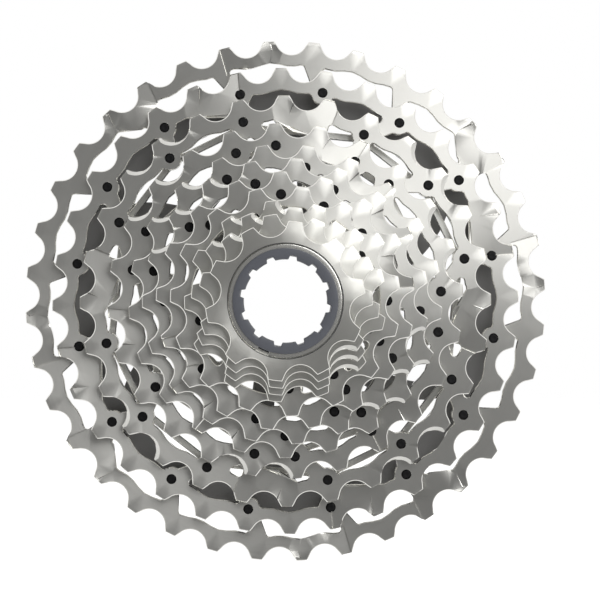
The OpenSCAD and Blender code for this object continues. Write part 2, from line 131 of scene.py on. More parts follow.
class CassetteSizes(bpy.types.PropertyGroup):
    """Lengths of the fine shapes that the looks add"""

    plate_edge: FloatProperty(
        name="Sprocket edge",
        description="Width of the broken edge round the stamped sprockets",
        default=0.00024, min=0.00005, max=0.0003, precision=5, unit="LENGTH", subtype="DISTANCE",
    )
    cluster_edge: FloatProperty(
        name="Cluster edge",
        description="Width of the broken edge round the machined sprockets",
        default=0.00017, min=0.00005, max=0.0003, precision=5, unit="LENGTH", subtype="DISTANCE",
    )
    carrier_edge: FloatProperty(
        name="Carrier edge",
        description="Width of the broken edge round the carrier",
        default=0.00022, min=0.00005, max=0.0004, precision=5, unit="LENGTH", subtype="DISTANCE",
    )
    nose_radius: FloatProperty(
        name="Nose radius", description="Outer radius of the lock tube's nose",
        default=0.0135, precision=5, unit="LENGTH", subtype="DISTANCE",
    )
    body_radius: FloatProperty(
        name="Body radius", description="Outer radius of the lock tube behind its nose",
        default=0.0129, precision=5, unit="LENGTH", subtype="DISTANCE",
    )
    nose_length: FloatProperty(
        name="Nose length", description="Length of the nose, groove and lip included",
        default=0.00795, precision=5, unit="LENGTH", subtype="DISTANCE",
    )
    groove_radius: FloatProperty(
        name="Groove radius", description="Radius at the bottom of the clip's groove",
        default=0.0131, precision=5, unit="LENGTH", subtype="DISTANCE",
    )
    groove_front: FloatProperty(
        name="Groove place", description="Distance of the groove's front from the tube's tip",
        default=0.0010, precision=5, unit="LENGTH", subtype="DISTANCE",
    )
    groove_width: FloatProperty(
        name="Groove width", description="Width of the clip's groove",
        default=0.00095, precision=5, unit="LENGTH", subtype="DISTANCE",
    )
    socket_radius: FloatProperty(
        name="Socket radius", description="Radius of the tool socket between its notches",
        default=0.01073, precision=5, unit="LENGTH", subtype="DISTANCE",
    )
    socket_depth: FloatProperty(
        name="Socket depth", description="Depth of the tool socket",
        default=0.0065, precision=5, unit="LENGTH", subtype="DISTANCE",
    )
    notch_depth: FloatProperty(
        name="Notch depth", description="Depth of the socket's notches",
        default=0.00103, precision=5, unit="LENGTH", subtype="DISTANCE",
    )
    notch_mouth: FloatProperty(
        name="Notch mouth", description="Width of a notch at its mouth",
        default=0.0024, precision=5, unit="LENGTH", subtype="DISTANCE",
    )
    notch_root: FloatProperty(
        name="Notch root", description="Width of a notch at its bottom",
        default=0.0015, precision=5, unit="LENGTH", subtype="DISTANCE",
    )
    notches: IntProperty(
        name="Notches", description="Number of notches in the tool socket",
        default=12, min=3, max=24,
    )
    first_notch: FloatProperty(
        name="First notch", description="Turn of the first notch from the X axis",
        default=math.radians(20), subtype="ANGLE", unit="ROTATION",
    )
    taper_length: FloatProperty(
        name="Taper length", description="Length of the taper behind the tube's body",
        default=0.005, precision=5, unit="LENGTH", subtype="DISTANCE",
    )
    thread_pitch: FloatProperty(
        name="Thread pitch", description="Pitch of the thread in the lock tube's wide end",
        default=0.001, precision=5, unit="LENGTH", subtype="DISTANCE",
    )
    thread_depth: FloatProperty(
        name="Thread depth", description="Depth of that thread outside its minor radius",
        default=0.00055, precision=5, unit="LENGTH", subtype="DISTANCE",
    )
    clip_bore: FloatProperty(
        name="Clip bore", description="Inner radius of the retaining clip",
        default=0.013175, precision=6, unit="LENGTH", subtype="DISTANCE",
    )
    clip_split: FloatProperty(
        name="Clip split", description="Width of the split in the retaining clip",
        default=0.003, precision=5, unit="LENGTH", subtype="DISTANCE",
    )
    clip_turn: FloatProperty(
        name="Clip turn", description="Turn of the clip's split from the X axis",
        default=math.radians(246), subtype="ANGLE", unit="ROTATION",
    )
    pin_edge: FloatProperty(
        name="Pin edge", description="Radius at the edges of the pins",
        default=0.00018, precision=5, unit="LENGTH", subtype="DISTANCE",
    )


class CassetteFinish(bpy.types.PropertyGroup):
    """Colours and surface values of the six finishes"""

    plate_colour: FloatVectorProperty(
        name="Sprocket steel", description="Colour of the nickel-plated sprockets",
        default=(0.72, 0.713, 0.678), size=3, min=0, max=1, subtype="COLOR",
    )
    cluster_colour: FloatVectorProperty(
        name="Cluster steel", description="Colour of the machined cluster",
        default=(0.74, 0.733, 0.69), size=3, min=0, max=1, subtype="COLOR",
    )
    carrier_colour: FloatVectorProperty(
        name="Carrier", description="Colour of the anodised carrier",
        default=(0.16, 0.158, 0.155), size=3, min=0, max=1, subtype="COLOR",
    )
    # the tube's own near-black, lifted and tinted blue as a painted reflection of the room on its
    # nose
    tube_colour: FloatVectorProperty(
        name="Lock tube", description="Colour of the anodised lock tube",
        default=(0.075, 0.079, 0.092), size=3, min=0, max=1, subtype="COLOR",
    )
    clip_colour: FloatVectorProperty(
        name="Clip", description="Colour of the spring clip",
        default=(0.80, 0.79, 0.75), size=3, min=0, max=1, subtype="COLOR",
    )
    pin_colour: FloatVectorProperty(
        name="Pins", description="Colour of the blackened pins",
        default=(0.004, 0.004, 0.0045), size=3, min=0, max=1, subtype="COLOR",
    )
    plate_roughness: FloatProperty(
        name="Sprocket roughness", description="Mean roughness of the brushed sprockets",
        default=0.40, min=0.05, max=0.9, subtype="FACTOR",
    )
    brush: FloatProperty(
        name="Brushing", description="How far the brushing spreads a reflection across its lines",
        default=0.75, min=0, max=1, subtype="FACTOR",
    )


class CassetteStudio(bpy.types.PropertyGroup):
    """The camera, the lights and the floor"""

    distance: FloatProperty(
        name="Camera distance", description="Distance from the camera to the seating face",
        default=0.457, unit="LENGTH", subtype="DISTANCE",
    )
    lens: FloatProperty(
        name="Lens", description="Focal length of the camera in millimetres", default=97.2,
    )
    key_power: FloatProperty(
        name="Key light", description="Power of the large light at the upper right in front",
        default=4.4, min=0, unit="POWER",
    )
    key_size: FloatProperty(
        name="Key size", description="Side of that light",
        default=0.7, unit="LENGTH", subtype="DISTANCE",
    )
    sky: FloatProperty(
        name="Room light", description="Brightness of the room behind the camera",
        default=0.20, min=0,
    )
    floor_glow: FloatProperty(
        name="Floor glow", description="Light that the pale floor gives by itself",
        default=0.5, min=0,
    )


# ---------------------------------------------------------------- shapes


def outward(points, quads):
    """Turns the quads of a closed shell so that they face out.

    The volume is the sum over the triangles of a . (b x c) / 6, and it is positive where the
    faces point out.
    """
    a, b, c, d = (points[quads[:, k]] for k in range(4))
    volume = np.einsum("ij,ij->", a, np.cross(b, c)) + np.einsum("ij,ij->", a, np.cross(c, d))
    return quads if volume > 0 else quads[:, ::-1]


def ring_quads(rows, columns):
    """The quads of a grid that closes both ways.

    Corner (i, j) is joined to (i + 1, j) and (i, j + 1), each counted round the end again.
    """
    i, j = np.meshgrid(np.arange(rows), np.arange(columns), indexing="ij")
    up, on = (i + 1) % rows, (j + 1) % columns
    near, far = i * columns, up * columns
    return np.stack([near + j, far + j, far + on, near + on], -1).reshape(-1, 4)


def strip_quads(rows, columns):
    """The quads of a grid that closes along its columns and is open along its rows."""
    i, j = np.meshgrid(np.arange(rows - 1), np.arange(columns), indexing="ij")
    on = (j + 1) % columns
    near, far = i * columns, (i + 1) * columns
    return np.stack([near + j, far + j, far + on, near + on], -1).reshape(-1, 4)


def pole_fans(quads, rows, columns):
    """The triangles that close an open tube of rings towards its two poles.

    The poles are the two points after the last ring, and each triangle joins one to points j and
    j + 1 of the ring beside it. Where the first ring's quads run from point 0 to point 1, the
    triangles are turned round, so that they face as the quads do.
    """
    j = np.arange(columns)
    on = (j + 1) % columns
    first, last, back = rows * columns, rows * columns + 1, (rows - 1) * columns
    start = np.stack([np.full(columns, first), j, on], -1)
    end = np.stack([np.full(columns, last), back + on, back + j], -1)
    fans = np.concatenate([start, end])
    ring = quads[:columns]
    forward = ((ring == 0) & (np.roll(ring, -1, axis=1) == 1)).any()
    return fans[:, ::-1] if forward else fans


def around_axle(radius, depth, angle):
    """Points at a radius, a turn from +X towards +Z, and a depth in front of the seating face.

    x = r cos a, y = -depth, z = r sin a.
    """
    return np.stack([radius * np.cos(angle), -depth + 0 * radius, radius * np.sin(angle)], -1)


def rounded_profile(corners, radius, steps=3):
    """A closed outline with its corners rounded.

    At corner P, with the next corners a distance away along u and v, the arc is the curve
    (1 - t)^2 (P + r u) + 2 t (1 - t) P + t^2 (P + r v), where r is the radius or, on a short
    side, 0.45 of that side. Returns the points and the number of the corner behind each.
    """
    corners = np.asarray(corners, float)
    to_last, to_next = np.roll(corners, 1, 0) - corners, np.roll(corners, -1, 0) - corners
    length = np.minimum(np.linalg.norm(to_last, axis=1), np.linalg.norm(to_next, axis=1))
    r = np.minimum(np.broadcast_to(radius, length.shape), 0.45 * length)[:, None, None]
    u = to_last / np.linalg.norm(to_last, axis=1, keepdims=True)
    v = to_next / np.linalg.norm(to_next, axis=1, keepdims=True)
    t = np.linspace(0, 1, steps)[None, :, None]
    p = corners[:, None]
    arc = (1 - t) ** 2 * (p + r * u[:, None]) + 2 * t * (1 - t) * p + t**2 * (p + r * v[:, None])
    return arc.reshape(-1, 2), np.repeat(np.arange(len(corners)), steps)


def between(a, b, count):
    """Points evenly spaced from a to b, both left out: a + (b - a) k / (count + 1)."""
    k = np.arange(1, count + 1)[:, None] / (count + 1)
    return np.asarray(a) + (np.asarray(b) - np.asarray(a)) * k


def add_piece(name, points, *faces, smooth_angle=35):
    """Puts a surface into the scene as a mesh object, with edges over the angle kept sharp."""
    mesh = bpy.data.meshes.new(name)
    mesh.from_pydata(points.tolist(), [], sum((group.tolist() for group in faces), []))
    mesh.update()
    mesh.shade_smooth()
    mesh.set_sharp_from_angle(angle=math.radians(smooth_angle))
    piece = bpy.data.objects.new(name, mesh)
    bpy.context.scene.collection.objects.link(piece)
    return piece


def finish_piece(piece, material, body, slot, *nodes):
    """Gives a piece its material and its body, and hides the CAD nodes that it stands for. The slot
    is not used.
    """
    piece.data.materials.clear()
    piece.data.materials.append(material)
    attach(piece, body)
    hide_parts(*nodes)
    return piece


def values_of(items, key, width=3, kind=np.float32):
    """One value of every item of a mesh collection, as an array."""
    found = np.zeros(len(items) * width, kind)
    items.foreach_get(key, found)
    return found.reshape(-1, width) if width > 1 else found


def broken_edges(mesh, is_rim, is_cap, width):
    """The places of a mesh's points once the line between each cap and its walls is a chamfer.

    A cap is a face that looks along Y, and the walls round it run along Y. Between them lies a
    ring of quads, one for each edge of the outline, still without width. Their inner corners move
    into the cap by the mitre 2 w m / (|m| max(|m|, 1)), where w is the width, m = t1 + t2, and t
    is the cap's normal crossed with the direction of the outline. The outer corners move along
    the walls by (0, -s w, 0), where s is the sign of the cap's normal in Y. They stay where a
    wall rises from the cap: n . (c - p) > 0, with c the middle of the wall and p the corner.
    """
    place, normal = values_of(mesh.vertices, "co"), values_of(mesh.polygons, "normal")
    middle = values_of(mesh.polygons, "center")
    start = values_of(mesh.polygons, "loop_start", 1, np.int32)
    sides = values_of(mesh.polygons, "loop_total", 1, np.int32)
    vertex = values_of(mesh.loops, "vertex_index", 1, np.int32)
    edge = values_of(mesh.loops, "edge_index", 1, np.int32)
    face = np.repeat(np.arange(len(sides)), sides)
    both = np.bincount(edge, face, len(mesh.edges)).astype(int)
    ring = np.flatnonzero(is_rim)
    corner = start[ring, None] + np.arange(4)
    across = both[edge[corner]] - ring[:, None]
    outer = np.argmax(~is_rim[across] & ~is_cap[across], axis=1)
    pick = np.arange(len(ring))
    v = [vertex[corner[pick, (outer + k) % 4]] for k in range(4)]
    wall, cap = across[pick, outer], across[pick, (outer + 2) % 4]
    inward = np.cross(normal[cap], place[v[1]] - place[v[0]])
    inward /= np.linalg.norm(inward, axis=1, keepdims=True) + 1e-12
    rises = np.einsum("ij,ij->i", normal[cap], middle[wall] - place[v[0]]) > 1e-7
    mitre, stay, sign = np.zeros_like(place), np.zeros(len(place), bool), np.zeros(len(place))
    for end in v[:2]:
        np.add.at(mitre, end, inward)
        stay[end[rises]] = True
        sign[end] = np.sign(normal[cap, 1])
    size = np.linalg.norm(mitre, axis=1, keepdims=True) + 1e-9
    shift = 2 * width * mitre / (size * np.maximum(size, 1))
    place[v[3]] = place[v[0]] + shift[v[0]]
    place[v[2]] = place[v[1]] + shift[v[1]]
    place[:, 1] -= np.where(stay, 0, sign * width)
    return place


def unfolded(place, moved, corners, rounds=6):
    """Draws back the corners of each flat triangle that turned over when its outline moved.

    A triangle a, b, c has turned over where the Y parts of (b - a) x (c - a) before and after
    the move differ in sign. Its corners then go a share of the way back, in each of the rounds.
    """
    def turn(points):
        a, b, c = (points[corners[:, k]].astype(float) for k in range(3))
        return np.cross(b - a, c - a)[:, 1]

    before = turn(place)
    for _ in range(rounds):
        back = np.unique(corners[turn(moved) * before < 0])
        moved[back] += DRAW_BACK * (place[back] - moved[back])
    return moved


def edged_copy(node, name, edge, smooth_angle=30):
    """A copy of a CAD node's mesh with its doubles merged and its sharp edges broken.

    Flat groups of triangles become single faces, the faces that look along the axle get a ring
    of quads at their outlines, and broken_edges gives that ring its width. The flat faces are
    split into triangles before their outlines move, so none of them reaches over a window. The
    imported normals go, because they would streak the flat faces.
    """
    mesh = frame["nodes"][node].data.copy()
    mesh.name = name
    mesh.shade_smooth()
    if "custom_normal" in mesh.attributes:
        mesh.attributes.remove(mesh.attributes["custom_normal"])
    shape = bmesh.new()
    shape.from_mesh(mesh)
    bmesh.ops.remove_doubles(shape, verts=shape.verts, dist=MERGE_WITHIN)
    bmesh.ops.dissolve_limit(
        shape, angle_limit=ONE_FACE, use_dissolve_boundaries=False,
        verts=shape.verts, edges=shape.edges,
    )
    caps = [face for face in shape.faces if abs(face.normal.y) > CAP]
    for face in caps:
        face.smooth = abs(face.normal.y) < SHADED_FLAT
    rim = bmesh.ops.inset_region(shape, faces=caps, thickness=0, use_boundary=True)["faces"]
    shape.faces.index_update()
    is_rim, is_cap = np.zeros((2, len(shape.faces)), bool)
    is_rim[[face.index for face in rim]] = True
    is_cap[[face.index for face in caps]] = True
    shape.to_mesh(mesh)
    place = values_of(mesh.vertices, "co")
    moved = broken_edges(mesh, is_rim, is_cap, edge)
    bmesh.ops.triangulate(shape, faces=caps)
    shape.to_mesh(mesh)
    shape.free()
    start = values_of(mesh.polygons, "loop_start", 1, np.int32)
    sides = values_of(mesh.polygons, "loop_total", 1, np.int32)
    flat = (sides == 3) & (np.abs(values_of(mesh.polygons, "normal")[:, 1]) > CAP)
    vertex = values_of(mesh.loops, "vertex_index", 1, np.int32)
    corners = vertex[start[flat, None] + np.arange(3)]
    mesh.vertices.foreach_set("co", unfolded(place, moved, corners).ravel())
    mesh.update()
    mesh.set_sharp_from_angle(angle=math.radians(smooth_angle))
    piece = bpy.data.objects.new(name, mesh)
    bpy.context.scene.collection.objects.link(piece)
    return piece


# ---------------------------------------------------------------- finishes


class Nodes:
    """Short ways to add and join shader nodes in one material or world"""

    def __init__(self, tree):
        self.tree = tree
        tree.nodes.clear()

    def add(self, kind, **values):
        """Adds a node. Names of sockets take values or links, and other names are its settings.

        A socket is named in words, with _ for a space, or by its number, as in i0.
        """
        node = self.tree.nodes.new(kind)
        settings = node.bl_rna.properties.keys()
        for key in [key for key in values if key in settings]:
            setattr(node, key, values[key])
        for key in [key for key in values if key not in settings]:
            numbered = key[0] == "i" and key[1:].isdigit()
            socket = node.inputs[int(key[1:]) if numbered else key.replace("_", " ")]
            self.put(socket, values[key])
        return node

    def put(self, socket, value):
        """Sets a socket, or links it when the value is another node's output."""
        if isinstance(value, bpy.types.NodeSocket):
            self.tree.links.new(value, socket)
        else:
            socket.default_value = value

    def place(self):
        """Object coordinates."""
        return self.add("ShaderNodeTexCoord").outputs["Object"]

    def math(self, operation, a, b=0.0):
        return self.add("ShaderNodeMath", operation=operation, i0=a, i1=b).outputs[0]

    def blend(self, a, share, b):
        """share of a, and the rest of b."""
        rest = self.math("MULTIPLY", b, 1 - share)
        return self.math("ADD", self.math("MULTIPLY", a, share), rest)

    def mix(self, share, a, b):
        """Goes from colour a to colour b with the share."""
        return self.add("ShaderNodeMix", data_type="RGBA", i0=share, i6=a, i7=b).outputs[2]

    def span(self, value, low, high):
        """Carries 0..1 over to low..high."""
        return self.add("ShaderNodeMapRange", i0=value, i3=low, i4=high).outputs[0]

    def step(self, value, start, end):
        """A smoothed step from 0 at start to 1 at end."""
        return self.add(
            "ShaderNodeMapRange", interpolation_type="SMOOTHSTEP",
            i0=value, i1=start, i2=end, i3=0.0, i4=1.0,
        ).outputs[0]

    def noise(self, vector, scale, detail=3.0, rough=0.55):
        return self.add(
            "ShaderNodeTexNoise", Vector=vector, Scale=scale, Detail=detail, Roughness=rough
        ).outputs["Fac"]

    def surface(self, shade, matt, height, strength, depth, **values):
        """The material's colour, roughness and bump, and other values of its shader."""
        bump = self.add("ShaderNodeBump", Strength=strength, Distance=depth, Height=height)
        shader = self.add(
            "ShaderNodeBsdfPrincipled", Base_Color=shade, Roughness=matt,
            Normal=bump.outputs[0], **values,
        )
        self.add("ShaderNodeOutputMaterial", Surface=shader.outputs[0])


def new_material(name):
    material = bpy.data.materials.new(name)
    material.use_nodes = True
    return material, Nodes(material.node_tree)


def tint(colour, factor):
    return tuple(min(1.0, c * factor) for c in colour) + (1.0,)


def axle_coordinates(n):
    """Object coordinates, and the radius and direction of each point round the axle.

    r = sqrt(x^2 + z^2), and the direction is (x / r, 0, z / r).
    """
    place = n.place()
    flat = n.add("ShaderNodeVectorMath", operation="MULTIPLY", i0=place, i1=(1, 0, 1)).outputs[0]
    radius = n.add("ShaderNodeVectorMath", operation="LENGTH", i0=flat).outputs["Value"]
    spoke = n.add("ShaderNodeVectorMath", operation="NORMALIZE", i0=flat).outputs[0]
    return place, radius, spoke


def brush_lines(n, radius, spoke, per_metre, along):
    """Noise drawn out into rings: fine in the radius and slow along the direction.

    The noise is read at (x / r * along, r * per_metre, z / r * along).
    """
    slow = n.add("ShaderNodeVectorMath", operation="SCALE", i0=spoke, Scale=along).outputs[0]
    fine = n.add("ShaderNodeCombineXYZ", Y=n.math("MULTIPLY", radius, per_metre)).outputs[0]
    drawn = n.add("ShaderNodeVectorMath", operation="ADD", i0=slow, i1=fine).outputs[0]
    return n.noise(drawn, 1.0, 4.0, 0.6)


def painted_edge_highlight(n):
    """How far a point lies on a broken edge or a wall, from 0 on the faces square to the axle to 1.

    It is the smoothed step of |n . Y| from EDGE_FROM down to EDGE_TO, with n the face's own
    direction, and it is the mask of a painted highlight on those edges and walls.
    """
    normal = n.add("ShaderNodeNewGeometry").outputs["True Normal"]
    square = n.math("ABSOLUTE", n.add("ShaderNodeSeparateXYZ", Vector=normal).outputs["Y"])
    return n.step(square, EDGE_FROM, EDGE_TO)


def plated_steel(name, colour, roughness, brush, per_metre, depth):
    """Nickel-plated steel brushed in rings round the axle, with a painted highlight on its broken
    edges and walls.
    """
    material, n = new_material(name)
    place, radius, spoke = axle_coordinates(n)
    lines = brush_lines(n, radius, spoke, per_metre, 7.0)
    cloud = n.noise(place, 55.0)
    specks = n.noise(place, 2600.0, 2.0, 0.7)
    # edge is the mask of the painted highlight on the broken edges and walls
    edge = painted_edge_highlight(n)
    face = n.mix(n.blend(cloud, 0.6, lines), tint(colour, 0.93), tint(colour, 1.05))
    # painted highlight: the colour is made 1.3 times lighter on broken edges and walls
    shade = n.mix(edge, face, tint(colour, EDGE_HIGHLIGHT_TINT))
    streaks = n.span(lines, roughness - 0.07, roughness + 0.07)
    matt = n.math("ADD", streaks, n.span(cloud, -0.03, 0.03))
    matt = n.math("SUBTRACT", matt, n.math("MULTIPLY", edge, roughness - EDGE_ROUGHNESS))
    lean = (0, BRUSH_LEAN, 0)
    tangent = n.add("ShaderNodeVectorMath", operation="ADD", i0=spoke, i1=lean).outputs[0]
    n.surface(
        shade, matt, n.blend(lines, 0.8, specks), 0.35, depth,
        Metallic=1.0, Tangent=tangent, Anisotropic=brush,
    )
    return material


def blasted_alloy(name, colour, roughness):
    """Dark anodised aluminium with the fine pits of bead blasting."""
    material, n = new_material(name)
    place = n.place()
    pits = n.noise(place, 5200.0, 3.0, 0.65)
    cloud = n.noise(place, 70.0)
    shade = n.mix(n.blend(pits, 0.5, cloud), tint(colour, 0.82), tint(colour, 1.2))
    matt = n.span(pits, roughness - 0.08, roughness + 0.08)
    n.surface(shade, matt, pits, 0.4, 0.00002, Metallic=0.0, Specular_IOR_Level=0.35)
    return material


def satin_anodising(name, colour, roughness):
    """Black anodised aluminium over fine turning marks."""
    material, n = new_material(name)
    place, radius, spoke = axle_coordinates(n)
    lines = brush_lines(n, radius, spoke, 9000.0, 3.0)
    cloud = n.noise(place, 140.0)
    shade = n.mix(n.blend(lines, 0.5, cloud), tint(colour, 0.85), tint(colour, 1.15))
    matt = n.span(lines, roughness - 0.06, roughness + 0.06)
    n.surface(shade, matt, lines, 0.3, 0.00001, Metallic=0.0, Specular_IOR_Level=0.4)
    return material


def blackened_steel(name, colour):
    """Black-oxide steel, a little uneven, as on a riveted pin."""
    material, n = new_material(name)
    grain = n.noise(n.place(), 3800.0, 3.0, 0.6)
    shade = n.mix(grain, tint(colour, 0.6), tint(colour, 1.7))
    matt = n.span(grain, 0.4, 0.58)
    n.surface(shade, matt, grain, 0.3, 0.00001, Metallic=0.0, Specular_IOR_Level=0.2)
    return material


# ---------------------------------------------------------------- pieces


class CASSETTE_OT_sprockets(bpy.types.Operator):
    """Breaks the edges of the eight stamped sprockets and brushes them"""

    bl_idname = "cassette.sprockets"
    bl_label = "Stamped sprockets"

    def execute(self, context):
        sizes, finish = context.scene.cassette_sizes, context.scene.cassette_finish
        steel = plated_steel(
            "Brushed nickel plate", finish.plate_colour, finish.plate_roughness, finish.brush,
            per_metre=2600.0, depth=0.00001,
        )
        for teeth in SPROCKETS:
            node = "sprocket_" + teeth
            piece = edged_copy(node, "plate_" + teeth, sizes.plate_edge)
            finish_piece(piece, steel, "cassette", "sprocket_steel", node)
        return {"FINISHED"}


class CASSETTE_OT_cluster(bpy.types.Operator):
    """Breaks the edges of the machined cluster and gives it turning marks"""

    bl_idname = "cassette.cluster"
    bl_label = "Machined cluster"

    def execute(self, context):
        sizes, finish = context.scene.cassette_sizes, context.scene.cassette_finish
        steel = plated_steel(
            "Turned nickel plate", finish.cluster_colour, finish.plate_roughness - 0.02,
            finish.brush, per_metre=4200.0, depth=0.000012,
        )
        piece = edged_copy("mini_cluster", "small_sprockets", sizes.cluster_edge)
        finish_piece(piece, steel, "cassette", "cluster_steel", "mini_cluster")
        return {"FINISHED"}


class CASSETTE_OT_carrier(bpy.types.Operator):
    """Breaks the edges of the splined carrier and blasts it"""

    bl_idname = "cassette.carrier"
    bl_label = "Carrier"

    def execute(self, context):
        sizes, finish = context.scene.cassette_sizes, context.scene.cassette_finish
        piece = edged_copy("carrier", "spoked_carrier", sizes.carrier_edge)
        alloy = blasted_alloy("Blasted anodising", finish.carrier_colour, 0.58)
        finish_piece(piece, alloy, "cassette", "carrier_alloy", "carrier")
        return {"FINISHED"}


def notch_shape(sizes):
    """Angles round the tube, and how deep the socket's notches are at each, from 0 to 1.

    Across a notch, at a distance d from its middle line, the depth is
    clip((m - d) / (m - q), 0, 1), where m and q are half of its widths at mouth and bottom as
    angles, smoothed by s^2 (3 - 2 s). The angles crowd at the flanks.
    """
    mouth = math.asin(sizes.notch_mouth / 2 / sizes.socket_radius)
    root = math.asin(sizes.notch_root / 2 / (sizes.socket_radius + sizes.notch_depth))
    half = math.pi / sizes.notches
    bottom, top = root * 0.92, mouth * 1.04
    flank, land = np.linspace(bottom, top, 11), np.linspace(top, half, 5)[1:]
    side = np.concatenate([np.linspace(0, bottom, 4)[1:-1], flank, land])
    away = np.concatenate([-side[-2::-1], [0], side])
    depth = np.clip((mouth - np.abs(away)) / (mouth - root), 0, 1)
    depth = depth * depth * (3 - 2 * depth)
    turns = np.arange(sizes.notches)[:, None] * TURN / sizes.notches + sizes.first_notch
    return (turns + away).ravel(), np.tile(depth, sizes.notches)


class CASSETTE_OT_lock_tube(bpy.types.Operator):
    """Makes the lock tube as one closed surface, with its notched socket and its thread"""

    bl_idname = "cassette.lock_tube"
    bl_label = "Lock tube"

    def execute(self, context):
        sizes, finish = context.scene.cassette_sizes, context.scene.cassette_finish
        low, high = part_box("lock_tube")
        rear, tip, wide = -high.y, -low.y, (high.x - low.x) / 2
        thread, pilot = MOUNTS["lock_thread"]["dims"], MOUNTS["driver_pilot"]["dims"]
        minor, bore = thread["r_mm"] / 1000, pilot["r_mm"] / 1000
        end = rear + thread["length_mm"] / 1000
        body = end + sizes.taper_length
        lip = tip - sizes.socket_depth
        nose = tip - sizes.nose_length
        front = tip - sizes.groove_front
        groove = front - sizes.groove_width
        # the outline as radius and depth, then how far each point follows the notches
        outline = [
            (minor, rear, 0), (wide, rear, 0), (wide, end, 0), (sizes.body_radius, body, 0),
            (sizes.body_radius, nose, 0), (sizes.nose_radius, nose, 0),
            (sizes.nose_radius, groove, 0), (sizes.groove_radius, groove, 0),
            (sizes.groove_radius, front, 0), (sizes.nose_radius, front, 0),
            (sizes.nose_radius, tip, 0), (sizes.socket_radius + TIP_LAND, tip, 0),
            (sizes.socket_radius, tip, 1), (sizes.socket_radius, lip, 1),
            (bore, lip, 0), (bore, body, 0), (minor, end, 0),
        ]
        soft = np.full(len(outline), TUBE_SOFT)
        soft[[1, 2, 3]] = WIDE_SOFT
        soft[[10, 12]] = TIP_SOFT
        profile, corner = rounded_profile([p[:2] for p in outline], soft)
        follows = np.array([p[2] for p in outline], float)[corner]
        # the thread's stretch of wall needs many rings
        rings = between(profile[-1], profile[0], THREAD_RINGS)
        profile = np.concatenate([profile, rings])
        follows = np.concatenate([follows, np.zeros(len(rings))])
        threaded = np.concatenate([np.zeros(len(corner)), np.ones(len(rings))])
        angle, notch = notch_shape(sizes)
        radius, depth = profile[:, :1], profile[:, 1:]
        turns = (depth - rear) / sizes.thread_pitch - angle / TURN
        ridge = 0.5 - 0.5 * np.cos(TURN * turns)
        starts, ends = (np.clip(d / THREAD_FADE, 0, 1) for d in (depth - rear, end - depth))
        radius = (
            radius + sizes.notch_depth * follows[:, None] * notch
            + sizes.thread_depth * threaded[:, None] * (starts * ends) * ridge
        )
        points = around_axle(radius, depth + 0 * angle, angle).reshape(-1, 3)
        quads = outward(points, ring_quads(len(profile), len(angle)))
        piece = add_piece("lock_tube_black", points, quads, smooth_angle=40)
        # the tube colour is the anodising's own near-black plus a painted reflection of the room
        black = satin_anodising("Black anodising", finish.tube_colour, 0.42)
        finish_piece(piece, black, "lock_tube", "tube_black", "lock_tube")
        return {"FINISHED"}


class CASSETTE_OT_clip(bpy.types.Operator):
    """Makes the split spring clip round the lock tube's nose"""

    bl_idname = "cassette.clip"
    bl_label = "Retaining clip"

    def execute(self, context):
        """A superellipse |u|^n + |v|^n = 1 carried along an arc, shrunk to nothing at its ends."""
        sizes, finish = context.scene.cassette_sizes, context.scene.cassette_finish
        low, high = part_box("retaining_clip")
        outer = max(high.x, -low.x, high.z, -low.z)
        middle, half_width = (outer + sizes.clip_bore) / 2, (outer - sizes.clip_bore) / 2
        depth, half_depth = -(high.y + low.y) / 2, (high.y - low.y) / 2
        a = np.arange(CLIP_SIDES) * TURN / CLIP_SIDES
        u, v = (np.sign(f) * np.abs(f) ** (2 / CLIP_POWER) for f in (np.cos(a), np.sin(a)))
        gap = sizes.clip_split / 2 / middle
        round_end = half_depth / middle
        t = np.linspace(0, 1, CLIP_END_RINGS + 1)[:-1] * math.pi / 2
        start, whole = gap + round_end * (1 - np.cos(t)), gap + round_end
        arc = np.linspace(whole, TURN - gap - round_end, CLIP_RINGS)
        along = np.concatenate([start, arc, TURN - start[::-1]])
        shrink = np.concatenate([np.sin(t), np.ones(CLIP_RINGS), np.sin(t[::-1])])
        turn = (sizes.clip_turn + along)[1:-1, None]
        size = shrink[1:-1, None]
        rings = around_axle(middle + half_width * u * size, depth + half_depth * v * size, turn)
        poles = around_axle(np.full(2, middle), np.full(2, depth), sizes.clip_turn + along[[0, -1]])
        points = np.concatenate([rings.reshape(-1, 3), poles])
        rows, columns = rings.shape[:2]
        quads = outward(points, strip_quads(rows, columns))
        fans = pole_fans(quads, rows, columns)
        piece = add_piece("spring_clip", points, quads, fans, smooth_angle=50)
        steel = plated_steel(
            "Bright spring steel", finish.clip_colour, 0.26, 0.3, per_metre=9000.0, depth=0.000006
        )
        finish_piece(piece, steel, "lock_tube", "clip_steel", "retaining_clip")
        return {"FINISHED"}


def pin_centres(node):
    """The middle of each pin in a node, the depths of its steps, and its two radii.

    A pin's points all lie within PIN_REACH of any one of them, seen along the axle. The larger
    radius is the shoulder's, and that at the rear end is the shank's.
    """
    points = values_of(frame["nodes"][node].data.vertices, "co").astype(float)
    flat, centres = points[:, [0, 2]], []
    while len(flat):
        near = np.linalg.norm(flat - flat[0], axis=1) < PIN_REACH
        centres.append((flat[near].min(0) + flat[near].max(0)) / 2)
        flat = flat[~near]
    centres = np.array(centres)
    depths = np.unique(np.round(-points[:, 1], 5))
    radii = np.linalg.norm(points[:, None, [0, 2]] - centres, axis=2).min(1)
    at_rear = np.isclose(-points[:, 1], depths[0], atol=1e-5)
    return centres, depths, radii.max(), radii[at_rear].max()


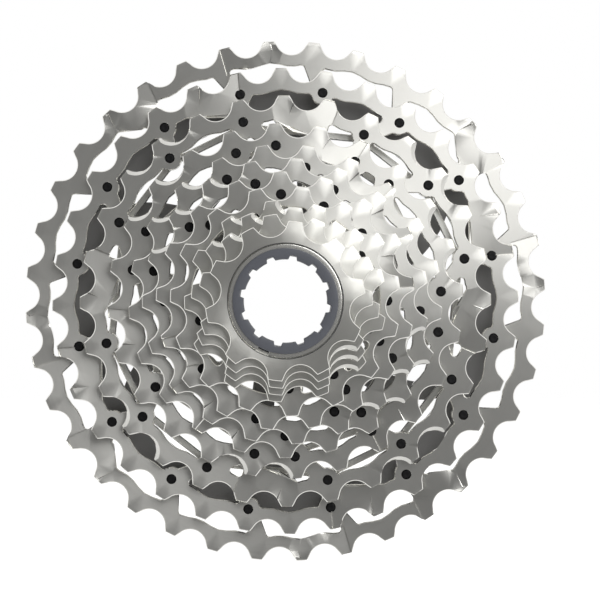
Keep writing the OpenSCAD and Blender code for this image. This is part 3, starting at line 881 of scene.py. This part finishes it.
class CASSETTE_OT_pins(bpy.types.Operator):
    """Makes the shouldered pins that hold each sprocket to the next"""

    bl_idname = "cassette.pins"
    bl_label = "Pins"

    def execute(self, context):
        """Each pin is its outline turned round its own line: x = cx + r cos a, z = cz + r sin a."""
        sizes, finish = context.scene.cassette_sizes, context.scene.cassette_finish
        black = blackened_steel("Blackened steel", finish.pin_colour)
        for name in PIN_SETS:
            node = "pins_" + name
            centres, depths, shoulder, shank = pin_centres(node)
            rear, step, ledge, front = depths[0], depths[1], depths[-2], depths[-1]
            dent = PIN_DENT * shank
            outline = [
                (dent, rear), (shank, rear), (shank, step), (shoulder, step),
                (shoulder, ledge), (shank, ledge), (shank, front), (dent, front),
            ]
            # a corner on the pin's own line closes the outline, and is left out again
            closing, half = (0, (rear + front) / 2), PIN_STEPS // 2
            profile, _ = rounded_profile(outline + [closing], sizes.pin_edge, PIN_STEPS)
            profile = profile[half:-PIN_STEPS - half]
            profile[0, 0] = profile[-1, 0] = dent
            angle = np.arange(PIN_SIDES) * TURN / PIN_SIDES
            ring = around_axle(profile[:, :1], profile[:, 1:] + 0 * angle, angle)
            hollow = sizes.pin_edge * PIN_HOLLOW
            poles = np.array([[0, -(rear + hollow), 0], [0, -(front - hollow), 0]])
            one = np.concatenate([ring.reshape(-1, 3), poles])
            rows, columns = ring.shape[:2]
            quads = outward(one, strip_quads(rows, columns))
            fans = pole_fans(quads, rows, columns)
            shift = np.stack([centres[:, 0], 0 * centres[:, 0], centres[:, 1]], -1)
            points = (one[None] + shift[:, None]).reshape(-1, 3)
            first = np.arange(len(centres))[:, None, None] * len(one)
            quads, fans = (first + quads).reshape(-1, 4), (first + fans).reshape(-1, 3)
            piece = add_piece("black_pins_" + name, points, quads, fans, smooth_angle=40)
            finish_piece(piece, black, "cassette", "pin_black", node)
        return {"FINISHED"}


# ---------------------------------------------------------------- studio


def room_light(studio):
    """White behind the object and to the camera, and a soft grey room in front of it.

    The room's brightness is mixed by the Y part of the direction looked in.
    """
    world = bpy.data.worlds.new("Studio")
    world.use_nodes = True
    bpy.context.scene.world = world
    n = Nodes(world.node_tree)
    direction = n.add("ShaderNodeTexCoord").outputs["Generated"]
    ahead = n.add("ShaderNodeSeparateXYZ", Vector=direction).outputs["Y"]
    share = n.step(ahead, ROOM_FROM, ROOM_TO)
    room = n.mix(share, (studio.sky,) * 3 + (1,), PALE)
    seen = n.add("ShaderNodeLightPath").outputs["Is Camera Ray"]
    light = n.add("ShaderNodeBackground", Color=n.mix(seen, room, WHITE), Strength=1.0)
    n.add("ShaderNodeOutputWorld", Surface=light.outputs[0])


def pale_floor(studio, height):
    """A pale round floor that fades out towards its edge."""
    material, n = new_material("Pale floor")
    far = n.add("ShaderNodeVectorMath", operation="LENGTH", i0=n.place()).outputs["Value"]
    fade = n.step(far, FADE_FROM, FADE_TO)
    paper = n.add(
        "ShaderNodeBsdfPrincipled", Base_Color=PALE, Roughness=0.9,
        Specular_IOR_Level=0.1, Emission_Color=WHITE, Emission_Strength=studio.floor_glow,
    )
    clear = n.add("ShaderNodeBsdfTransparent")
    mixed = n.add("ShaderNodeMixShader", i0=fade, i1=paper.outputs[0], i2=clear.outputs[0])
    n.add("ShaderNodeOutputMaterial", Surface=mixed.outputs[0])
    j = np.arange(FLOOR_SIDES)
    angle, middle = j * TURN / FLOOR_SIDES, np.full(FLOOR_SIDES, FLOOR_RINGS * FLOOR_SIDES)
    reach = np.linspace(0.0, FLOOR_REACH, FLOOR_RINGS + 1)[1:, None]
    x, y = reach * np.cos(angle), reach * np.sin(angle)
    rings = np.stack([x, y, np.full(x.shape, height)], -1)
    points = np.concatenate([rings.reshape(-1, 3), [[0, 0, height]]])
    fan = np.stack([middle, j, (j + 1) % FLOOR_SIDES], -1)
    floor = add_piece("floor", points, strip_quads(FLOOR_RINGS, FLOOR_SIDES), fan)
    floor.data.materials.append(material)
    floor.visible_glossy = False
    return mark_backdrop(floor)


class CASSETTE_OT_studio(bpy.types.Operator):
    """Sets up the camera, the soft lights, the room and the pale floor"""

    bl_idname = "cassette.studio"
    bl_label = "Studio"

    def execute(self, context):
        scene, studio = context.scene, context.scene.cassette_studio
        scene.view_settings.view_transform = "Standard"
        room_light(studio)
        pale_floor(studio, CAD_BOX[0].z)
        camera = bpy.data.objects.new("Camera", bpy.data.cameras.new("Camera"))
        scene.collection.objects.link(camera)
        camera.data.sensor_width = 36
        camera.data.lens = studio.lens
        camera.data.shift_x, camera.data.shift_y = LENS_SHIFT
        camera.data.clip_start, camera.data.clip_end = 0.01, 10
        camera.location = (0, -studio.distance, 0)
        camera.rotation_euler = (math.radians(90), 0, 0)
        scene.camera = camera
        area = bpy.data.lights.new("Key", "AREA")
        area.energy, area.size = studio.key_power, studio.key_size
        key = bpy.data.objects.new("Key", area)
        scene.collection.objects.link(key)
        key.location = KEY_PLACE
        key.rotation_euler = (-key.location).to_track_quat("-Z", "Y").to_euler()
        return {"FINISHED"}


class CASSETTE_PT_workshop(bpy.types.Panel):
    """Lists the steps and the values that they read"""

    bl_label = "Cassette"
    bl_idname = "CASSETTE_PT_workshop"
    bl_space_type = "VIEW_3D"
    bl_region_type = "UI"
    bl_category = "Cassette"

    def draw(self, context):
        layout, scene = self.layout, context.scene
        for step in STEPS:
            layout.operator(step.bl_idname)
        for group in (scene.cassette_sizes, scene.cassette_finish, scene.cassette_studio):
            box = layout.box()
            for key in group.__annotations__:
                box.prop(group, key)


STEPS = (
    CASSETTE_OT_sprockets,
    CASSETTE_OT_cluster,
    CASSETTE_OT_carrier,
    CASSETTE_OT_lock_tube,
    CASSETTE_OT_clip,
    CASSETTE_OT_pins,
    CASSETTE_OT_studio,
)
CLASSES = (CassetteSizes, CassetteFinish, CassetteStudio) + STEPS + (CASSETTE_PT_workshop,)


def register():
    for cls in CLASSES:
        bpy.utils.register_class(cls)
    bpy.types.Scene.cassette_sizes = PointerProperty(type=CassetteSizes)
    bpy.types.Scene.cassette_finish = PointerProperty(type=CassetteFinish)
    bpy.types.Scene.cassette_studio = PointerProperty(type=CassetteStudio)


def unregister():
    del bpy.types.Scene.cassette_sizes
    del bpy.types.Scene.cassette_finish
    del bpy.types.Scene.cassette_studio
    for cls in reversed(CLASSES):
        bpy.utils.unregister_class(cls)


def main():
    """Makes every piece and the studio."""
    register()
    for step in STEPS:
        group, name = step.bl_idname.split(".")
        getattr(getattr(bpy.ops, group), name)()
    bpy.context.view_layer.update()


if __name__ == "__main__":
    main()
